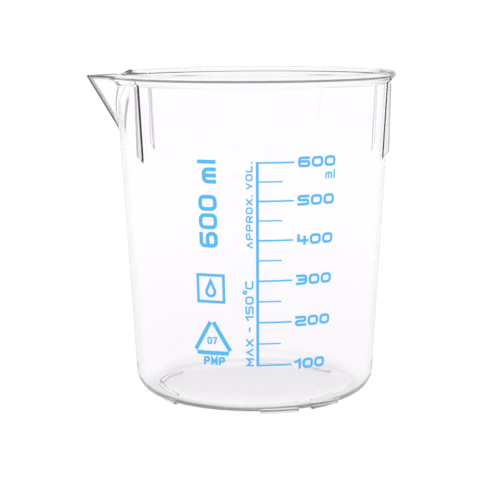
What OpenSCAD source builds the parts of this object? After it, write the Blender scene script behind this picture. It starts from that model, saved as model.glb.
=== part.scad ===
// Graduated plastic beaker with a V spout, a rolled rim, stacking ribs and a screen-printed scale.
// Millimetres. +Z is up, the spout points along -X and the print faces -Y. The origin is on the
// table under the middle of the vessel's bounding box. Each shape is drawn round the vessel's own
// axis, and vessel() and inked() then move it to x = axis_x.

/* [Vessel] */
// Height of the rim's crest above the table
height = 123.6; // [115:0.1:135]
// Outside radius of the wall's line where it would meet the table
wall_r = 44.9; // [43:0.1:48]
// Draft of the wall, in degrees from the vertical
draft = 3.35; // [3:0.05:3.8]
// Thickness of the wall
wall_t = 1.6; // [1.4:0.1:2]
// Thickness of the floor
floor_t = 2.2; // [1.8:0.1:3]
// Outside radius of the corner between the wall and the floor
corner_r = 9; // [8:0.5:11]

/* [Rim] */
// Radius of the rounded top of the bead along the rim
bead_r = 1.65; // [1.4:0.05:1.9]
// Straight height at the bead's widest place
bead_edge_h = 0.3; // [0.2:0.05:0.4]
// Width of the small ledge under the bead's widest place
bead_ledge_w = 0.5; // [0.3:0.05:0.6]
// Height of the sloped underside between the ledge and the wall
bead_under_h = 1.8; // [1.4:0.1:2.2]

/* [Spout] */
// Distance of the spout's tip from the axis
spout_reach = 63.3; // [61:0.1:65]
// Drop of the spout's lip below the rim's crest
lip_drop = 1.2; // [0.8:0.1:1.6]
// Height of the keel, from the wall up to the tip
keel_h = 21; // [19:0.1:22]
// Angle between the keel and each side of the V
spout_half_angle = 58.4; // [55:0.1:62]
// Thickness of the spout's sides
spout_t = 1.2; // [1:0.1:1.6]

/* [Stacking ribs] */
// Angles of the ribs from the spout, on each side
rib_angles = [36.5, 161.5]; // [30:0.5:170]
// Thickness of a rib
rib_t = 1; // [0.8:0.1:1.4]
// Length of a rib below the rim's crest
rib_len = 31.9; // [25:0.1:36]
// Outside radius of a rib's free edge, at the top and at the bottom
rib_free_r = [53.4, 52.7]; // [52.5:0.1:53.6]
// Height of the slope at a rib's lower end
rib_slope_h = 2.5; // [1.5:0.1:4]

/* [Feet] */
// Height of the feet under the floor
foot_h = 1.2; // [0.8:0.1:1.6]
// Outside radius of the feet
foot_r = 37.5; // [36.5:0.1:38]
// Width of the feet
foot_w = 2; // [1.5:0.1:3]

/* [Print] */
// Thickness of the ink
ink_t = 0.1; // [0.08:0.01:0.2]
// Volumes between the first and the last mark, in millilitres
mark_first = 100; // [100:50:200]
mark_last = 600; // [500:50:600]
// Volume between two marks, in millilitres
mark_step = 50; // [50, 100]
// Angle of the scale's upright line from the front, positive to the right
scale_angle = 0.9; // [0:0.1:5]
// Angles at which the long and the short marks end
mark_end = [15.9, 11.1]; // [8:0.1:17]
// Widths of the upright line, of a long mark and of a short mark
scale_line = [1, 0.6, 0.5]; // [0.3:0.05:1.5]
// Angle at which the numerals start
numeral_angle = 17.5; // [17:0.1:20]

/* [Hidden] */
$fn = 96;

clear_plastic = [0.93, 0.92, 0.94, 0.45];
blue_ink = [0.36, 0.72, 0.96];

// First and last angle of each foot on the front half, counted from +X towards the front
foot_spans = [[34, 55], [65, 87.5], [144, 175]];

slope = tan(draft);
base_z = foot_h;
floor_z = base_z + floor_t;
bead_z = height - bead_r;
lip_z = height - lip_drop;
cavity_corner_r = corner_r - floor_t;
axis_x = (spout_reach - inner_r(bead_z) - 2 * bead_r) / 2;

// Outside and inside radius of the wall at height z
function outer_r(z) = wall_r + slope * z;
function inner_r(z) = outer_r(z) - wall_t / cos(draft);

// Height at which the vessel holds a volume in millilitres: the cavity is part of a cone, so its
// volume is pi (r^3 - r0^3) / (3 slope), less what the rounded corner at the floor takes up.
function fill_z(volume) =
    let (r0 = inner_r(floor_z),
         corner_loss = (1 - PI / 4) * pow(cavity_corner_r, 2) * 2 * PI
             * (r0 - 0.22 * cavity_corner_r),
         r = pow(pow(r0, 3) + 3 * slope * (volume * 1000 + corner_loss) / PI, 1 / 3))
    floor_z + (r - r0) / slope;

// ---- Vessel ----

// Half section of a tapered cup: a flat bottom at z_low, a corner of radius r, and a wall that runs
// from radius r_low to r_high. The corner's arc meets the wall in the direction of the draft.
module cup_section(z_low, z_high, r, r_low, r_high) {
    z_c = z_low + r;
    x_c = r_low + slope * r - r / cos(draft);
    x_t = x_c + r * cos(draft);
    z_t = z_c - r * sin(draft);
    polygon([[0, z_low], [x_c, z_low], [x_c, z_c], [x_t, z_t], [r_high, z_high], [0, z_high]]);
    intersection() {
        translate([x_c, z_c])
            circle(r);
        polygon([[x_c, z_c], [x_c, z_c - 2 * r], [x_c + 2 * r, z_c - 2 * r],
            [x_c + 2 * r * cos(draft), z_c - 2 * r * sin(draft)]]);
    }
}

// Half section of the bead: a round top, a short straight edge, a ledge that runs steeply inwards and
// a slope down to the wall. Its inner side lies on the wall's inner side.
module bead_section() {
    x_i = inner_r(bead_z);
    x_o = x_i + 2 * bead_r;
    z_e = bead_z - bead_edge_h;
    z_l = z_e - bead_ledge_w / 2;
    z_u = z_l - bead_under_h;
    intersection() {
        translate([x_i + bead_r, bead_z])
            circle(bead_r);
        translate([x_i, bead_z])
            square(2 * bead_r);
    }
    polygon([[x_i, bead_z], [x_o, bead_z], [x_o, z_e], [x_o - bead_ledge_w, z_l],
        [outer_r(z_u), z_u], [inner_r(z_u), z_u]]);
}

// The spout is a prism with a V section, laid along the keel. inset moves both sides inwards.
keel_run = spout_reach - outer_r(lip_z - keel_h);
keel_tilt = atan(keel_run / keel_h);
module spout_prism(inset, z_top) {
    back = 24;
    // Nearer to the axis than this the prism would come out of the wall again
    near = 42;
    half = back * tan(spout_half_angle);
    apex = inset / sin(spout_half_angle);
    length = 40;
    intersection() {
        translate([-spout_reach, 0, lip_z])
            rotate([0, -keel_tilt, 0])
                translate([0, 0, -length / 2])
                    linear_extrude(length)
                        polygon([[apex, 0], [apex + back, half], [apex + back, -half]]);
        translate([-2 * spout_reach, -spout_reach, 0])
            cube([2 * spout_reach - near, 2 * spout_reach, z_top]);
    }
}

// One rib: a thin upright plate in a radial plane, with its foot sloped back to the wall
module rib(angle) {
    z_end = height - rib_len;
    z_top = bead_z;
    root = 0.6;
    rotate([0, 0, angle])
        translate([0, rib_t / 2, 0])
            rotate([90, 0, 0])
                linear_extrude(rib_t)
                    polygon([[outer_r(z_end) - root, z_end], [outer_r(z_end), z_end],
                        [rib_free_r[1], z_end + rib_slope_h], [rib_free_r[0], z_top],
                        [outer_r(z_top) - root, z_top]]);
}

// One foot: part of a ring under the floor
module foot(span) {
    overlap = 0.6;
    rotate([0, 0, -span[1]])
        rotate_extrude(angle = span[1] - span[0])
            translate([foot_r - foot_w, 0])
                square([foot_w, foot_h + overlap]);
}

module moulding() {
    difference() {
        union() {
            rotate_extrude() {
                cup_section(base_z, bead_z, corner_r, outer_r(base_z), outer_r(bead_z));
                bead_section();
            }
            spout_prism(0, lip_z);
            for (angle = rib_angles, side = [-1, 1])
                rib(180 + side * angle);
            for (span = foot_spans) {
                foot(span);
                mirror([0, 1, 0])
                    foot(span);
            }
        }
        rotate_extrude()
            cup_section(floor_z, height + 1, cavity_corner_r, inner_r(floor_z),
                inner_r(height + 1));
        spout_prism(spout_t, height + 1);
    }
}

module vessel() {
    color(clear_plastic)
        translate([axis_x, 0, 0])
            moulding();
}

// ---- Lettering ----
// A letter is a list of strokes in a unit square. A stroke is [rounding, closed, points]: its
// corners are rounded where rounding is 1, and it is a loop where closed is true.

function strokes(c) =
    c == "0" || c == "O" ? [[1, true, [[0, 0], [1, 0], [1, 1], [0, 1]]]] :
    c == "1" ? [[0, false, [[0, 0.74], [0.5, 1], [0.5, 0]]]] :
    c == "2" ? [[1, false, [[0, 1], [1, 1], [1, 0.5], [0, 0.5], [0, 0], [1, 0]]]] :
    c == "3" ? [[1, false, [[0, 1], [1, 1], [1, 0], [0, 0]]], [0, false, [[0.2, 0.5], [1, 0.5]]]] :
    c == "4" ? [[0, false, [[0.72, 0], [0.72, 0.8]]], [0, false, [[0.05, 1], [0.05, 0.36], [1, 0.36]]]] :
    c == "5" ? [[1, false, [[1, 1], [0, 1], [0, 0.53], [1, 0.53], [1, 0], [0, 0]]]] :
    c == "6" ? [[1, true, [[0, 0], [1, 0], [1, 0.56], [0, 0.56]]],
                [1, false, [[0, 0.4], [0, 1], [0.95, 1]]]] :
    c == "7" ? [[0, false, [[0, 1], [0.9, 1], [0.35, 0]]]] :
    c == "A" ? [[0, false, [[0.05, 0.04], [0.5, 0.9], [0.95, 0.04]]]] :
    c == "C" ? [[1, false, [[1, 1], [0, 1], [0, 0], [1, 0]]]] :
    c == "L" ? [[0, false, [[0, 1], [0, 0], [0.9, 0]]]] :
    c == "M" ? [[0, false, [[0, 0], [0, 0.9], [0.5, 0.34], [1, 0.9], [1, 0]]]] :
    c == "P" ? [[1, true, [[0, 0.44], [1, 0.44], [1, 1], [0, 1]]], [0, false, [[0, 0], [0, 0.6]]]] :
    c == "R" ? [[1, true, [[0, 0.44], [1, 0.44], [1, 1], [0, 1]]], [0, false, [[0, 0], [0, 0.6]]],
                [0, false, [[0.6, 0.34], [0.95, 0.03]]]] :
    c == "V" ? [[0, false, [[0.05, 0.96], [0.5, 0.1], [0.95, 0.96]]]] :
    c == "X" ? [[0, false, [[0.05, 0.04], [0.95, 0.96]]], [0, false, [[0.05, 0.96], [0.95, 0.04]]]] :
    c == "m" ? [[1, false, [[0, 0], [0, 0.7], [1, 0.7], [1, 0]]],
                [0, false, [[0.5, 0.7], [0.5, 0]]]] :
    c == "l" ? [[0, false, [[0.1, 0], [0.1, 1]]]] :
    c == "." ? [[0, false, [[0, 0], [0.04, 0]]]] :
    c == "-" ? [[0, false, [[0.05, 0.5], [0.5, 0.5]]]] :
    c == "o" ? [[1, true, [[0, 0.95], [0.4, 0.95], [0.4, 1.42], [0, 1.42]]]] :
    [];

// Share of a full letter's width that a character takes
function advance(c) =
    c == "1" ? 0.62 : c == "l" ? 0.2 : c == "." ? 0.15 : c == "o" ? 0.45 : c == "-" ? 0.6 :
    c == " " ? 0.4 : 1;

function unit(v) = v / norm(v);
function left_normal(a, b) = let (d = unit(b - a)) [-d[1], d[0]];

// The point before and the point after place i, which go round the end where the line is closed
function before(p, i, closed) = i > 0 ? p[i - 1] : closed ? p[len(p) - 1] : undef;
function after(p, i, closed) = i < len(p) - 1 ? p[i + 1] : closed ? p[0] : undef;

// Points of a corner at b, rounded by a quadratic curve that leaves each side at distance r
corner_steps = 4;
function corner(a, b, c, r) =
    let (reach = min(r, 0.45 * norm(b - a), 0.45 * norm(c - b)),
         p = b - reach * unit(b - a),
         q = b + reach * unit(c - b))
    [for (i = [0 : corner_steps])
        let (s = i / corner_steps)
        (1 - s) * (1 - s) * p + 2 * s * (1 - s) * b + s * s * q];

function rounded(p, r, closed) =
    [for (i = [0 : len(p) - 1])
        let (a = before(p, i, closed), c = after(p, i, closed))
        each (r == 0 || is_undef(a) || is_undef(c) ? [p[i]] : corner(a, p[i], c, r))];

// Line at distance d to the left of the line p, with mitred corners
function beside(p, d, closed) =
    [for (i = [0 : len(p) - 1])
        let (a = before(p, i, closed), c = after(p, i, closed),
             n0 = is_undef(a) ? left_normal(p[i], c) : left_normal(a, p[i]),
             n1 = is_undef(c) ? n0 : left_normal(p[i], c))
        p[i] + d * (n0 + n1) / (1 + n0 * n1)];

function reversed(p) = [for (i = [len(p) - 1 : -1 : 0]) p[i]];

// An open line's ends are lengthened by d, so that its strokes end square on the letter's edge
function lengthened(p, d) =
    let (n = len(p) - 1)
    [for (i = [0 : n])
        i == 0 ? p[0] - d * unit(p[1] - p[0]) :
        i == n ? p[n] + d * unit(p[n] - p[n - 1]) : p[i]];

module stroke(p, w, closed) {
    if (closed)
        difference() {
            polygon(beside(p, -w / 2, true));
            polygon(beside(p, w / 2, true));
        }
    else
        let (q = lengthened(p, w / 2))
            polygon(concat(beside(q, w / 2, false), reversed(beside(q, -w / 2, false))));
}

// One character, w wide and h high, with its lower left corner at the origin
module letter(c, w, h, line) {
    for (s = strokes(c)) {
        p = [for (q = s[2]) [line / 2 + q[0] * (w - line), line / 2 + q[1] * (h - line)]];
        stroke(rounded(p, s[0] * 1.2 * line, s[1]), line, s[1]);
    }
}

// Distance from the start of a word to its character i
function start_of(word, i, w, gap) =
    i == 0 ? 0 : start_of(word, i - 1, w, gap) + advance(word[i - 1]) * w + gap;

// ---- Print ----

// The thin conical skin that the ink fills
module ink_skin(z_low, z_high) {
    rotate_extrude()
        polygon([[outer_r(z_low), z_low], [outer_r(z_low) + ink_t, z_low],
            [outer_r(z_high) + ink_t, z_high], [outer_r(z_high), z_high]]);
}

// Presses a flat drawing onto the wall: the drawing's origin comes to angle and z, its x runs
// round to the right and its y runs up.
module print_at(angle, z) {
    rotate([0, 0, angle])
        translate([0, 0, z])
            rotate([90, 0, 0])
                linear_extrude(2 * wall_r)
                    children();
}

// A word that runs round the wall, each character at its own angle. Its middle is at height z.
module word_round(word, angle, z, w, h, gap, line) {
    degrees_per_mm = 180 / PI / outer_r(z);
    for (i = [0 : len(word) - 1])
        let (half = advance(word[i]) * w / 2)
            print_at(angle + (start_of(word, i, w, gap) + half) * degrees_per_mm, z)
                translate([-half, -h / 2])
                    letter(word[i], w, h, line);
}

// A word that runs up the wall, with the tops of its letters to the left. Its first character
// starts at height z.
module word_up(word, angle, z, w, h, gap, line) {
    print_at(angle, z)
        rotate(90)
            for (i = [0 : len(word) - 1])
                translate([start_of(word, i, w, gap), -h / 2])
                    letter(word[i], w, h, line);
}

module inked(z_low, z_high) {
    color(blue_ink)
        translate([axis_x, 0, 0])
            intersection() {
                ink_skin(z_low, z_high);
                children();
            }
}

// A mark: a level wedge with its point on the axis, which the skin cuts down to an arc on the wall
module mark(z, end, line) {
    reach = 2 * wall_r;
    translate([0, 0, z - line / 2])
        linear_extrude(line)
            polygon([[0, 0], reach * [sin(scale_angle), -cos(scale_angle)],
                reach * [sin(end), -cos(end)]]);
}

module graduation_scale() {
    z_first = fill_z(mark_first) - scale_line[1] / 2;
    z_last = fill_z(mark_last) + scale_line[1] / 2;
    inked(z_first - 1, z_last + 1) {
        print_at(scale_angle, z_first)
            translate([-scale_line[0] / 2, 0])
                square([scale_line[0], z_last - z_first]);
        for (volume = [mark_first : mark_step : mark_last])
            if (volume % 100 == 0)
                mark(fill_z(volume), mark_end[0], scale_line[1]);
            else
                mark(fill_z(volume), mark_end[1], scale_line[2]);
    }
}

// The numerals keep the same angles all the way up, so their width follows the wall's radius
numeral_h = 3.8;
numeral_line = 0.95;
numeral_w = 0.091;
module numeral(volume) {
    z = fill_z(volume);
    w = numeral_w * outer_r(z);
    inked(z - numeral_h, z + numeral_h)
        word_round(str(volume), numeral_angle, z, w, numeral_h, 0.13 * w, numeral_line);
}

module numeral_100() { numeral(100); }
module numeral_200() { numeral(200); }
module numeral_300() { numeral(300); }
module numeral_400() { numeral(400); }
module numeral_500() { numeral(500); }
module numeral_600() { numeral(600); }

module unit_ml() {
    z = fill_z(mark_last) - 4.75;
    inked(z - 3, z + 3)
        word_round("ml", 29.9, z, 2.9, 3.2, 0.35, 0.55);
}

module approx_volume_legend() {
    z = fill_z(mark_last) - 30.5;
    inked(z - 1, z + 32)
        word_up("APPROX. VOL.", -2.4, z, 2.5, 2.5, 0.58, 0.55);
}

module max_temperature_legend() {
    z = fill_z(mark_first) - 0.3;
    inked(z - 1, z + 34)
        word_up("MAX - 150oC", -2.6, z, 3, 2.95, 0.58, 0.62);
}

module capacity_legend() {
    z = fill_z(mark_last) - 30.4;
    inked(z - 2, z + 33)
        word_up("600 ml", -19.8, z, 5.7, 6.9, 0.9, 1.35);
}

// Square frame with a droplet in it: the droplet's outline is a circle and its two tangents
frame_size = 10.7;
droplet_r = 2.1;
droplet_tip = 5.2;
droplet_steps = 24;
module droplet(r, tip) {
    lean = acos(r / tip);
    sweep = 360 - 2 * lean;
    polygon(concat([[0, tip]], [for (i = [0 : droplet_steps])
        let (a = 90 + lean + sweep * i / droplet_steps)
        [r * cos(a), r * sin(a)]]));
}

module droplet_symbol() {
    z = 47 + base_z;
    line = 1;
    inked(z - frame_size, z + frame_size)
        print_at(-19.5, z) {
            difference() {
                square(frame_size, center = true);
                square(frame_size - 2 * line, center = true);
            }
            translate([0, -1.2])
                difference() {
                    droplet(droplet_r, droplet_tip);
                    droplet(droplet_r - line, droplet_tip * (droplet_r - line) / droplet_r);
                }
        }
}

// Three bars that run round a triangle, with a gap at each corner, and a number inside
triangle_r = 9.7;
module triangle_symbol() {
    z = 27.4 + base_z;
    line = 1.45;
    inked(z - triangle_r, z + triangle_r)
        print_at(-19.4, z) {
            for (turn = [0, 120, 240])
                rotate(turn)
                    translate([-0.62 * triangle_r, -0.5 * triangle_r])
                        square([1.24 * triangle_r, line]);
            translate([-1.95, -0.9])
                letter("0", 1.8, 2.7, 0.55);
            translate([0.15, -0.9])
                letter("7", 1.8, 2.7, 0.55);
        }
}

module material_code() {
    z = fill_z(mark_first) + 1.3;
    inked(z - 3, z + 3)
        word_round("PMP", -23.8, z, 2.45, 3.1, 0.4, 0.78);
}

vessel();
graduation_scale();
numeral_100();
numeral_200();
numeral_300();
numeral_400();
numeral_500();
numeral_600();
unit_ml();
approx_volume_legend();
max_temperature_legend();
capacity_legend();
droplet_symbol();
triangle_symbol();
material_code();
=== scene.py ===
import math
import bpy
import numpy as np
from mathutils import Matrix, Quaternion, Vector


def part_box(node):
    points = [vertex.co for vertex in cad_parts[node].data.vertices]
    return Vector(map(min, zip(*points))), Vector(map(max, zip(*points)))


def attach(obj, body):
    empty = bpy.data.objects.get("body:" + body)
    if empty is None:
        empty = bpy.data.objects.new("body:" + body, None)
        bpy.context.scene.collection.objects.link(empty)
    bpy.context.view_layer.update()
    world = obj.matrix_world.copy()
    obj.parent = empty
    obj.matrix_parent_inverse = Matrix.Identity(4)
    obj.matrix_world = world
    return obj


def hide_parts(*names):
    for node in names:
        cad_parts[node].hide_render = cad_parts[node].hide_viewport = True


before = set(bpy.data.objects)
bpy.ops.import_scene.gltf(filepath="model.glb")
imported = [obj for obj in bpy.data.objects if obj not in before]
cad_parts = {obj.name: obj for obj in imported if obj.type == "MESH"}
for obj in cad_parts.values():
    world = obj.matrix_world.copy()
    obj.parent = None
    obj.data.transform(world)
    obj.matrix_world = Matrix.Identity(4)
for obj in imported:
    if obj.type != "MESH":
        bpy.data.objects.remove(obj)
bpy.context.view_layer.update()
vesselLow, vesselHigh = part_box("vessel")
mm = 0.001  # the values below are in millimetres; Blender works in metres


cameraValues = {
    "distance": 600.0,   # from the lens to the point it looks at
    "pitch": 8.3,        # degrees downwards
    "lookAt": (-0.6, 0.0, 59.0),
    "roll": 0.35,
    "lens": 117.3,
    "sensor": 36.0,
    "seesFrom": 0.01,    # nearest and farthest that it sees, in metres
    "seesTo": 20.0,
}


def makeCamera(values):
    pitch = math.radians(values["pitch"])
    x, y, z = (v * mm for v in values["lookAt"])
    distance = values["distance"] * mm
    data = bpy.data.cameras.new("studioCamera")
    data.lens = values["lens"]
    data.sensor_width = values["sensor"]
    data.clip_start = values["seesFrom"]
    data.clip_end = values["seesTo"]
    camera = bpy.data.objects.new("studioCamera", data)
    camera.location = (x, y - distance * math.cos(pitch), z + distance * math.sin(pitch))
    camera.rotation_mode = "QUATERNION"
    camera.rotation_quaternion = (Quaternion((1.0, 0.0, 0.0), math.pi / 2 - pitch)
                                  @ Quaternion((0.0, 0.0, 1.0), -math.radians(values["roll"])))
    bpy.context.scene.collection.objects.link(camera)
    bpy.context.scene.camera = camera


makeCamera(cameraValues)
print("camera made")


# smooth step: t*t*(3 - 2t), where t runs from 0 at start to 1 at end
def ramp(x, start, end):
    t = np.clip((x - start) / (end - start), 0.0, 1.0)
    return t * t * (3.0 - 2.0 * t)


# a + (b - a) * weight
def blendValues(a, b, weight):
    return a + (b - a) * weight


# max(a, b) + h*h*width/4, where h = max(width - |a - b|, 0) / width: it rounds the valley between two surfaces
def smoothMax(a, b, width):
    h = np.maximum(width - np.abs(a - b), 0.0) / width
    return np.maximum(a, b) + h * h * width * 0.25


# a closed skin from a grid of points, with one ring of points per row; the first and the last row are single
# points, the poles; columns go round anticlockwise and rows go from the underside outwards
def closedGrid(name, x, y, z):
    rows, columns = x.shape
    grid = np.stack([x, y, z], axis=-1)[1:-1].reshape(-1, 3)
    first = len(grid)
    poles = np.array([[x[0, 0], y[0, 0], z[0, 0]], [x[-1, 0], y[-1, 0], z[-1, 0]]])
    points = np.vstack([grid, poles])
    here = np.arange(columns)
    there = (here + 1) % columns
    row = np.arange(rows - 3)[:, None] * columns
    quads = np.stack([row + here, row + there, row + columns + there, row + columns + here], axis=-1)
    last = (rows - 3) * columns
    bottom = np.stack([np.full(columns, first), there, here], axis=-1)
    top = np.stack([np.full(columns, first + 1), last + here, last + there], axis=-1)
    mesh = bpy.data.meshes.new(name)
    mesh.from_pydata(points, [], [*quads.reshape(-1, 4).tolist(), *bottom.tolist(), *top.tolist()])
    mesh.polygons.foreach_set("use_smooth", np.full(len(mesh.polygons), True))
    mesh.validate()
    mesh.update()
    piece = bpy.data.objects.new(name, mesh)
    bpy.context.scene.collection.objects.link(piece)
    return piece


vesselValues = {
    "draft": 3.35,           # degrees from the vertical
    "wall": 1.6,
    "floor": 2.2,
    "cornerRadius": 9.0,     # outside, between wall and floor
    "beadRadius": 1.65,
    # the bead's underside, from the wall up to its widest place: distance from the inner face, depth below the crest
    "beadUnderside": ((1.62, 1.68, 1.95, 2.35, 2.6, 2.7, 2.78, 3.1, 3.25, 3.3),
                      (4.25, 4.0, 3.75, 3.4, 3.0, 2.55, 2.3, 2.08, 1.93, 1.7)),
    "lipDrop": 1.2,          # from the rim's crest down to the spout's lip
    "lipRounding": 0.45,
    "spoutWall": 1.2,
    "spoutBlend": 1.0,       # how gently the spout leaves the wall
    "spoutHalfAngle": 58.4,  # degrees between the keel and each side
    "keelHeight": 21.0,
    "keelRounding": 0.006,   # sine of the angle over which the keel is rounded
    "spoutSpan": 36.0,       # degrees either side; farther round, the V would come out of the wall again
    "swellSpan": (14.0, 31.0),  # degrees from the spout where the thin lip swells into the bead
    "riseSpan": (17.0, 25.0),   # and where its crest rises to the rim's
    "footHeight": 1.2,
    "footRadii": (35.5, 37.5),
    "footSpans": ((5.0, 36.0), (92.5, 115.0), (125.0, 146.0)),  # degrees from the spout
    "ribAngles": (36.5, 161.5),
    "ribThickness": 1.0,
    "ribLength": 31.9,       # down from the rim's crest
    "ribFreeRadius": (52.7, 53.4),  # at the bottom and at the top
    "ribSlope": 2.5,         # height of the slope at the bottom
    "ribTop": 2.0,           # below the crest, where the upper free radius is reached
    "ribNearby": 5.0,        # degrees either side of a rib where its height is worked out
    "columnStep": 1.25,      # degrees between columns of the skin, then the same near the spout
    "fineSpan": 27.0,
    "fineStep": 0.5,
}


# angles from the spout, in degrees: an even fan, closer near the spout, with extra ones at the edges of ribs and feet
def vesselColumns(v):
    even = np.arange(-180.0, 180.0, v["columnStep"])
    nearSpout = np.arange(-v["fineSpan"], v["fineSpan"] + 0.01, v["fineStep"])
    keel = np.array([0.12, 0.25, 0.38, 0.75])
    acrossRib = np.array([0.0, 0.22, 0.36, 0.43, 0.48, 0.51, 0.55, 0.6, 0.68, 0.8, 1.05]) * 1.1
    footEdge = np.array([-0.35, -0.1, 0.1, 0.22, 0.4, 0.8])
    fans = [even[np.abs(even) > v["fineSpan"]], nearSpout, keel, -keel]
    for side in (-1, 1):
        fans += [side * (angle + sign * acrossRib) for angle in v["ribAngles"] for sign in (-1, 1)]
        for start, end in v["footSpans"]:
            fans += [side * (start + footEdge), side * (end - footEdge)]
    angles = np.unique(np.round(np.concatenate(fans), 3))
    tooClose = 0.035
    return angles[np.concatenate([[True], np.diff(angles) > tooClose])]


# how far the underside is lowered, from 0 to 1: a rounded box across the ring times one along each foot
def footDrop(v, radius, angle):
    roundedEdge = [0.0, 0.88, 0.97, 1.0]
    low, high = v["footRadii"]
    inwards = np.minimum(radius - low, high - radius)
    across = np.interp(inwards, [-0.05, 0.05, 0.15, 0.3], roundedEdge)
    along = np.zeros_like(angle)
    for start, end in v["footSpans"]:
        inside = np.minimum(np.abs(angle) - start, end - np.abs(angle))
        along = np.maximum(along, np.interp(inside, [-0.1, 0.1, 0.22, 0.4], roundedEdge))
    return across * along


# radius of the ribs' skin: wall radius + depth(height) * section(distance from the rib's middle plane)
def ribHeight(v, wallRadius, height, angle, crest):
    end = crest - v["ribLength"]
    low, high = v["ribFreeRadius"]
    free = np.interp(height, [end + v["ribSlope"], crest - v["ribTop"]], [low, high])
    rootRadius = wallRadius - math.tan(math.radians(v["draft"])) * (height - end)
    sloped = rootRadius + (low - rootRadius) * (height - end) / v["ribSlope"]
    depth = np.maximum(np.minimum(free, sloped) - wallRadius, 0.0) * (height > end)
    half = v["ribThickness"] / 2
    skin = wallRadius
    for ribAngle in v["ribAngles"]:
        aside = np.abs(wallRadius * np.sin(np.radians(np.abs(angle) - ribAngle)))
        near = np.abs(np.abs(angle) - ribAngle) < v["ribNearby"]
        section = np.interp(aside - half, [-0.34, -0.2, -0.08, 0.0, 0.04, 0.12, 0.28, 0.5],
                            [1.0, 0.97, 0.91, 0.82, 0.2, 0.1, 0.03, 0.0])
        skin = np.maximum(skin, wallRadius + depth * section * near)
    return skin


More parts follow.
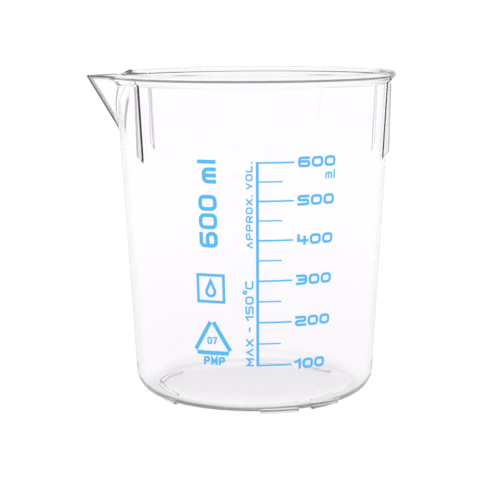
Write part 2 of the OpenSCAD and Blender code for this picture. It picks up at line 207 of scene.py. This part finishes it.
# the whole moulding as one closed skin: radius and height are functions of the angle round the axis and of the place
# along the section, which runs from the middle of the underside out to the corner, up the wall, over the rim and down
# inside; near the spout the wall is the larger of the cone and a V, r = (a + b z) / (c cos(angle) + d |sin(angle)|)
def makeVessel(v):
    crest = vesselHigh.z / mm
    axisX = (vesselHigh.x - vesselHigh.y) / mm
    reach = axisX - vesselLow.x / mm
    slope = math.tan(math.radians(v["draft"]))
    upright = math.cos(math.radians(v["draft"]))
    beadMiddle = crest - v["beadRadius"]
    wallAtTable = vesselHigh.y / mm - 2 * v["beadRadius"] + v["wall"] / upright - slope * beadMiddle
    baseZ = v["footHeight"]
    floorZ = baseZ + v["floor"]

    def coneOutside(z):
        return wallAtTable + slope * z

    def coneInside(z):
        return coneOutside(z) - v["wall"] / upright

    lipZ = crest - v["lipDrop"]
    keelFootZ = lipZ - v["keelHeight"]
    keelFootRadius = coneOutside(keelFootZ)
    tilt = math.atan((reach - keelFootRadius) / v["keelHeight"])
    flare = 1.0 / math.tan(math.radians(v["spoutHalfAngle"]))

    def spoutRadius(angle, z, inset):
        sine = np.sqrt(np.sin(np.radians(angle)) ** 2 + v["keelRounding"] ** 2) - 0.6 * v["keelRounding"]
        top = math.cos(tilt) * keelFootRadius + math.sin(tilt) * (z - keelFootZ) - inset
        return top / (math.cos(tilt) * np.cos(np.radians(angle)) + flare * sine)

    angle = vesselColumns(v)[None, :]
    towardsSpout = np.abs(angle) < v["spoutSpan"]
    spoutInset = v["spoutWall"] / math.sin(math.radians(v["spoutHalfAngle"]))

    def outside(z):
        wall = coneOutside(z)
        spout = np.where(towardsSpout, spoutRadius(angle, z, 0.0), 0.0)
        return smoothMax(wall + 0.0 * angle, spout, v["spoutBlend"])

    def inside(z):
        wall = coneInside(z)
        spout = np.where(towardsSpout, spoutRadius(angle, z, spoutInset), 0.0)
        return smoothMax(wall + 0.0 * angle, spout, v["spoutBlend"])

    bead = ramp(np.abs(angle), *v["swellSpan"])  # 0 along the spout's lip, 1 where the bead is full
    rise = ramp(np.abs(angle), *v["riseSpan"])
    rimTop = blendValues(lipZ, crest, rise)
    lipShoulder = np.full((1, 1), lipZ - v["lipRounding"])
    lipHalf = (outside(lipShoulder) - inside(lipShoulder)) / 2
    rimHalf = blendValues(lipHalf, v["beadRadius"], bead)
    rimRise = blendValues(v["lipRounding"], v["beadRadius"], bead)
    rimMiddle = rimTop - rimRise

    # underside and outside corner
    cornerZ = baseZ + v["cornerRadius"]
    cornerX = coneOutside(cornerZ) - v["cornerRadius"] / upright
    footLow, footHigh = v["footRadii"]
    footRings = np.array([-0.3, -0.05, 0.05, 0.15, 0.3])
    flat = np.concatenate([[0.0], np.arange(5.0, 34.0, 5.0), footLow + footRings, [cornerX]])
    bend = np.concatenate([np.arccos((footHigh - footRings[::-1] - cornerX) / v["cornerRadius"]) * -1.0,
                           np.radians(np.linspace(-78.0, -v["draft"], 14))])
    underR = np.concatenate([flat, cornerX + v["cornerRadius"] * np.cos(bend)])[:, None]
    underZ = np.concatenate([np.full(len(flat), baseZ), cornerZ + v["cornerRadius"] * np.sin(bend)])[:, None]
    underZ = underZ * (1.0 - footDrop(v, underR, angle + 0.0 * underR))
    underR = underR + 0.0 * angle

    # outside wall, up to the start of the rim
    wallStart = cornerZ - v["cornerRadius"] * math.sin(math.radians(v["draft"]))
    ribEnd = crest - v["ribLength"]
    underOut, underDepth = (np.array(part)[:, None] for part in v["beadUnderside"])
    beadFoot = crest - underDepth.max()
    levels = np.concatenate([np.arange(wallStart + 3.0, ribEnd - 2.0, 4.0),
                             np.arange(ribEnd - 0.6, ribEnd + v["ribSlope"] + 0.9, 0.4),
                             np.arange(ribEnd + 5.0, keelFootZ - 1.0, 2.0),
                             np.arange(keelFootZ - 0.5, beadFoot - 0.3, 0.62)])
    share = ((levels - wallStart) / (beadFoot - wallStart))[:, None]
    wallZ = wallStart + share * (rimTop - underDepth.max() - wallStart)
    wallR = np.maximum(outside(wallZ), ribHeight(v, coneOutside(wallZ), wallZ, angle, crest))

    # underside of the bead, or the last of the flank below the lip
    lipDepth = np.linspace(underDepth.max(), v["lipRounding"], len(underDepth))[:, None]
    shoulderZ = rimTop - blendValues(lipDepth, underDepth, bead)
    shoulderR = blendValues(outside(shoulderZ), inside(shoulderZ) + underOut, bead)
    shoulderR = np.maximum(shoulderR, ribHeight(v, coneOutside(shoulderZ), shoulderZ, angle, crest))

    # rim: half an ellipse from the outside over the top
    turn = np.linspace(0.0, math.pi, 18)[1:, None]
    rimR = inside(rimMiddle) + rimHalf + rimHalf * np.cos(turn)
    rimZ = rimMiddle + rimRise * np.sin(turn)

    # inside wall, from the rim down
    innerCorner = v["cornerRadius"] - v["floor"]
    innerCornerZ = floorZ + innerCorner
    innerCornerX = coneInside(innerCornerZ) - innerCorner / upright
    innerEnd = innerCornerZ - innerCorner * math.sin(math.radians(v["draft"]))
    levels = np.concatenate([
        np.arange(1.0, v["keelHeight"] + 3.0, 0.8),
        np.arange(v["keelHeight"] + 6.0, rimMiddle.min() - innerEnd - 2.0, 5.0)])
    share = (levels / (beadMiddle - innerEnd))[:, None]
    innerZ = rimMiddle + share * (innerEnd - rimMiddle)
    innerR = inside(innerZ)

    # inside corner and floor
    bend = np.radians(np.linspace(-v["draft"], -90.0, 13))
    floorFlat = np.array([34.0, 28.0, 20.0, 12.0, 5.0, 0.0])
    floorR = np.concatenate([innerCornerX + innerCorner * np.cos(bend), floorFlat])[:, None] + 0.0 * angle
    floorHeights = np.concatenate([innerCornerZ + innerCorner * np.sin(bend), np.full(len(floorFlat), floorZ)])
    floorHeights = floorHeights[:, None] + 0.0 * angle

    radius = np.vstack([underR, wallR, shoulderR, rimR, innerR, floorR]) * mm
    height = np.vstack([underZ, wallZ, shoulderZ, rimZ, innerZ, floorHeights]) * mm
    x = axisX * mm - radius * np.cos(np.radians(angle))
    y = -radius * np.sin(np.radians(angle))
    return closedGrid("vesselSkin", x, y, height)


vesselSkin = makeVessel(vesselValues)
print("vessel made:", len(vesselSkin.data.polygons), "faces")


# an empty material with one Principled shader
def newMaterial(name):
    material = bpy.data.materials.new(name)
    material.use_nodes = True
    nodes, links = material.node_tree.nodes, material.node_tree.links
    nodes.clear()
    output = nodes.new("ShaderNodeOutputMaterial")
    shader = nodes.new("ShaderNodeBsdfPrincipled")
    links.new(shader.outputs["BSDF"], output.inputs["Surface"])
    return material, nodes, links, shader


# short ways to add nodes: arithmetic, a smooth step from low to high as value runs from start to end, and a choice
# between what the camera sees directly and what it sees through the plastic
def nodeTools(tree):
    def put(socket, value):
        if isinstance(value, (int, float)):
            socket.default_value = value
        elif value is not None:
            tree.links.new(value, socket)

    def sums(operation, a, b=None):
        node = tree.nodes.new("ShaderNodeMath")
        node.operation = operation
        put(node.inputs[0], a)
        put(node.inputs[1], b)
        return node.outputs[0]

    def step(value, start, end, low, high):
        node = tree.nodes.new("ShaderNodeMapRange")
        node.interpolation_type = "SMOOTHSTEP"
        names = ("Value", "From Min", "From Max", "To Min", "To Max")
        for name, number in zip(names, (value, start, end, low, high)):
            put(node.inputs[name], number)
        return node.outputs["Result"]

    def seen(direct, indirect):
        path = tree.nodes.new("ShaderNodeLightPath")
        node = tree.nodes.new("ShaderNodeMix")
        node.data_type = "FLOAT"
        put(node.inputs["Factor"], path.outputs["Is Camera Ray"])
        put(node.inputs["A"], indirect)
        put(node.inputs["B"], direct)
        return node.outputs["Result"]

    return sums, step, seen


# pairs are where a zone begins and where it is full, in millimetres from the table or from the beaker's axis
plasticValues = {
    "tint": (0.9915, 0.979, 0.9955, 1.0),
    "edge": (0.1, 0.1, 0.1, 1.0),  # painted shade, standing in for the dark lines where light is trapped in the plastic: the rim's ledge, the lip, the keel and the ribs' edges
    "clarity": 0.992,              # the rest is a slight milky haze
    "index": 1.46,
    "roughness": 0.02,             # of the polished wall; the other zones are less polished
    "rimRoughness": 0.12,
    "rimAbove": (119.0, 121.0),
    "ribRoughness": 0.3,
    "spoutRoughness": 0.07,
    "spoutFrom": (46.0, 49.0),
    "spoutAbove": (92.0, 102.0),
    "baseRoughness": 0.13,
    "baseBelow": (3.6, 9.0),
    "ledgeFrom": (121.15, 121.3),
    "ledgeTo": (122.0, 122.15),
    "ledgeRadius": (52.6, 52.9),
    "ledgeBack": 0.1,              # how much of the shade is left at the back, and where it fades
    "ledgeFades": (5.0, 25.0),
    "lipBeyond": (53.9, 54.3),     # the ledge turns into the lip here, and these lift its lower and upper limits
    "lipLow": 0.6,
    "lipRise": 0.3,
    "keelPaintedShade": 0.65,
    "keelHalfWidth": (1.3, 1.9),
    "keelRadius": (51.6, 52.4),
    "ribPaintedShade": 0.65,
    "ribEdge": (52.2, 52.35),      # at the height ribEdgeAt, moving outwards by ribEdgeLean for each millimetre up
    "ribEdgeAt": 94.0,
    "ribEdgeLean": 0.025,
    "ribBelow": (119.0, 119.4),
    "ribClearOfSpout": (45.5, 46.5),
    "ribOutside": (44.95, 45.05),  # the wall's outside, carried down to the table
    "basePaintedShade": 0.3,
    "baseBand": (1.6, 3.2),
    "baseRadius": (36.0, 40.0),
}


def makeClearPlastic(v):
    material, nodes, links, shader = newMaterial("clearPlastic")
    sums, step, _ = nodeTools(material.node_tree)
    place = nodes.new("ShaderNodeTexCoord")
    split = nodes.new("ShaderNodeSeparateXYZ")
    links.new(place.outputs["Object"], split.inputs[0])
    axisX = vesselHigh.x - vesselHigh.y
    x = sums("SUBTRACT", split.outputs["X"], axisX)
    x, y, z = (sums("DIVIDE", value, mm) for value in (x, split.outputs["Y"], split.outputs["Z"]))
    radius = sums("SQRT", sums("ADD", sums("MULTIPLY", x, x), sums("MULTIPLY", y, y)))
    spoutwards = sums("MULTIPLY", x, -1.0)

    # painted shade on the ledge under the rim, which goes on as the lip's edge
    onLip = step(radius, *v["lipBeyond"], 0.0, 1.0)
    lowSide = sums("SUBTRACT", z, sums("MULTIPLY", onLip, v["lipLow"]))
    highSide = sums("SUBTRACT", z, sums("MULTIPLY", onLip, v["lipRise"]))
    ledge = sums("MULTIPLY", step(lowSide, *v["ledgeFrom"], 0.0, 1.0), step(highSide, *v["ledgeTo"], 1.0, 0.0))
    ledge = sums("MULTIPLY", ledge, step(radius, *v["ledgeRadius"], 0.0, 1.0))
    ledge = sums("MULTIPLY", ledge, step(y, *v["ledgeFades"], 1.0, v["ledgeBack"]))

    # painted shade along the spout's keel
    keel = sums("MULTIPLY", step(sums("ABSOLUTE", y), *v["keelHalfWidth"], v["keelPaintedShade"], 0.0),
                step(spoutwards, *v["keelRadius"], 0.0, 1.0))

    # the ribs, below the rim: their free edges get painted shade and all of them is less polished
    ribZone = sums("MULTIPLY", step(z, *v["ribBelow"], 1.0, 0.0), step(spoutwards, *v["ribClearOfSpout"], 1.0, 0.0))
    lean = sums("MULTIPLY", sums("SUBTRACT", z, v["ribEdgeAt"]), v["ribEdgeLean"])
    rib = sums("MULTIPLY", step(sums("SUBTRACT", radius, lean), *v["ribEdge"], 0.0, v["ribPaintedShade"]), ribZone)
    wallSlope = math.tan(math.radians(vesselValues["draft"]))
    beyond = sums("SUBTRACT", radius, sums("MULTIPLY", z, wallSlope))
    onRib = sums("MULTIPLY", step(beyond, *v["ribOutside"], 0.0, v["ribRoughness"]), ribZone)

    onSpout = sums("MULTIPLY", step(spoutwards, *v["spoutFrom"], 0.0, v["spoutRoughness"]),
                   step(z, *v["spoutAbove"], 0.0, 1.0))
    onBase = step(z, *v["baseBelow"], v["baseRoughness"], 0.0)
    onRim = step(z, *v["rimAbove"], v["roughness"], v["rimRoughness"])
    roughness = sums("MAXIMUM", sums("MAXIMUM", onRib, onSpout), sums("MAXIMUM", onBase, onRim))

    # painted shade on the turn from the wall to the base
    base = sums("MULTIPLY", step(z, *v["baseBand"], v["basePaintedShade"], 0.0), step(radius, *v["baseRadius"], 0.0, 1.0))

    # sockets 6 and 7 are the Mix node's colours, and output 2 is its colour
    # painted shade: the ledge, keel, rib and base zones darken the tint towards the painted shade colour
    paintedShadeMask = sums("MAXIMUM", sums("MAXIMUM", ledge, base), sums("MAXIMUM", keel, rib))
    colour = nodes.new("ShaderNodeMix")
    colour.data_type = "RGBA"
    links.new(paintedShadeMask, colour.inputs["Factor"])
    colour.inputs[6].default_value = v["tint"]
    colour.inputs[7].default_value = v["edge"]
    links.new(colour.outputs[2], shader.inputs["Base Color"])
    links.new(roughness, shader.inputs["Roughness"])
    shader.inputs["Transmission Weight"].default_value = v["clarity"]
    shader.inputs["IOR"].default_value = v["index"]
    return material


inkValues = {
    "colour": (0.08, 0.54, 1.0, 1.0),
    "roughness": 0.45,
}


def makeInk(v):
    material, _, _, shader = newMaterial("blueInk")
    shader.inputs["Base Color"].default_value = v["colour"]
    shader.inputs["Roughness"].default_value = v["roughness"]
    return material


clearPlastic = makeClearPlastic(plasticValues)
blueInk = makeInk(inkValues)
vesselSkin.data.materials.append(clearPlastic)
for name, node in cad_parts.items():
    if name != "vessel":
        node.data.materials.clear()
        node.data.materials.append(blueInk)
print("materials made")

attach(vesselSkin, "root")
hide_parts("vessel")


studioValues = {
    "bright": 1.02,         # floor and surround, as the camera sees them directly
    "floorRadius": 4.0,
    "floorLevel": -0.0002,  # just under the feet
    "floorNear": 0.98,      # painted shade: what the plastic sees of the floor's glow, dimmer beside the beaker and brighter far from it
    "floorFar": 1.04,
    "floorFade": 0.5,       # metres from the middle to the far value
    "gap": 0.2,             # brightness of the dark band between the backdrop's top and the light overhead
    "gapSpan": (30.0, 40.0, 55.0, 70.0),  # degrees above the horizon
}


def makeFloor(values):
    turn = np.radians(np.arange(0, 360, 7.5))
    mesh = bpy.data.meshes.new("floor")
    radius = values["floorRadius"]
    level = np.full(len(turn), values["floorLevel"])
    points = np.stack([radius * np.cos(turn), radius * np.sin(turn), level], axis=-1)
    mesh.from_pydata(points, [], [list(range(len(turn)))])
    floor = bpy.data.objects.new("floor", mesh)
    bpy.context.scene.collection.objects.link(floor)
    material, nodes, links, shader = newMaterial("paleFloor")
    _, step, seen = nodeTools(material.node_tree)
    place = nodes.new("ShaderNodeTexCoord")
    length = nodes.new("ShaderNodeVectorMath")
    length.operation = "LENGTH"
    links.new(place.outputs["Object"], length.inputs[0])
    # painted shade: seen through the plastic, the floor glows less near the beaker
    throughPlastic = step(length.outputs["Value"], 0.0, values["floorFade"], values["floorNear"], values["floorFar"])
    glow = seen(values["bright"], throughPlastic)
    shader.inputs["Base Color"].default_value = (0.0, 0.0, 0.0, 1.0)
    shader.inputs["Specular IOR Level"].default_value = 0.0
    shader.inputs["Roughness"].default_value = 0.9
    shader.inputs["Emission Color"].default_value = (1.0, 1.0, 1.0, 1.0)
    links.new(glow, shader.inputs["Emission Strength"])
    floor.data.materials.append(material)


def makeWorld(values):
    world = bpy.data.worlds.new("studio")
    bpy.context.scene.world = world
    world.use_nodes = True
    tree = world.node_tree
    tree.nodes.clear()
    sums, step, seen = nodeTools(tree)
    direction = tree.nodes.new("ShaderNodeTexCoord")
    split = tree.nodes.new("ShaderNodeSeparateXYZ")
    tree.links.new(direction.outputs["Generated"], split.inputs[0])
    z = split.outputs["Z"]
    start, dark, light, end = (math.sin(math.radians(angle)) for angle in values["gapSpan"])
    glow = sums("MAXIMUM", step(z, start, dark, 1.0, values["gap"]), step(z, light, end, values["gap"], 1.0))
    background = tree.nodes.new("ShaderNodeBackground")
    background.inputs["Color"].default_value = (1.0, 1.0, 1.0, 1.0)
    tree.links.new(seen(values["bright"], glow), background.inputs["Strength"])
    output = tree.nodes.new("ShaderNodeOutputWorld")
    tree.links.new(background.outputs[0], output.inputs[0])
    bpy.context.scene.view_settings.view_transform = "Standard"


makeFloor(studioValues)
makeWorld(studioValues)
print("studio made")
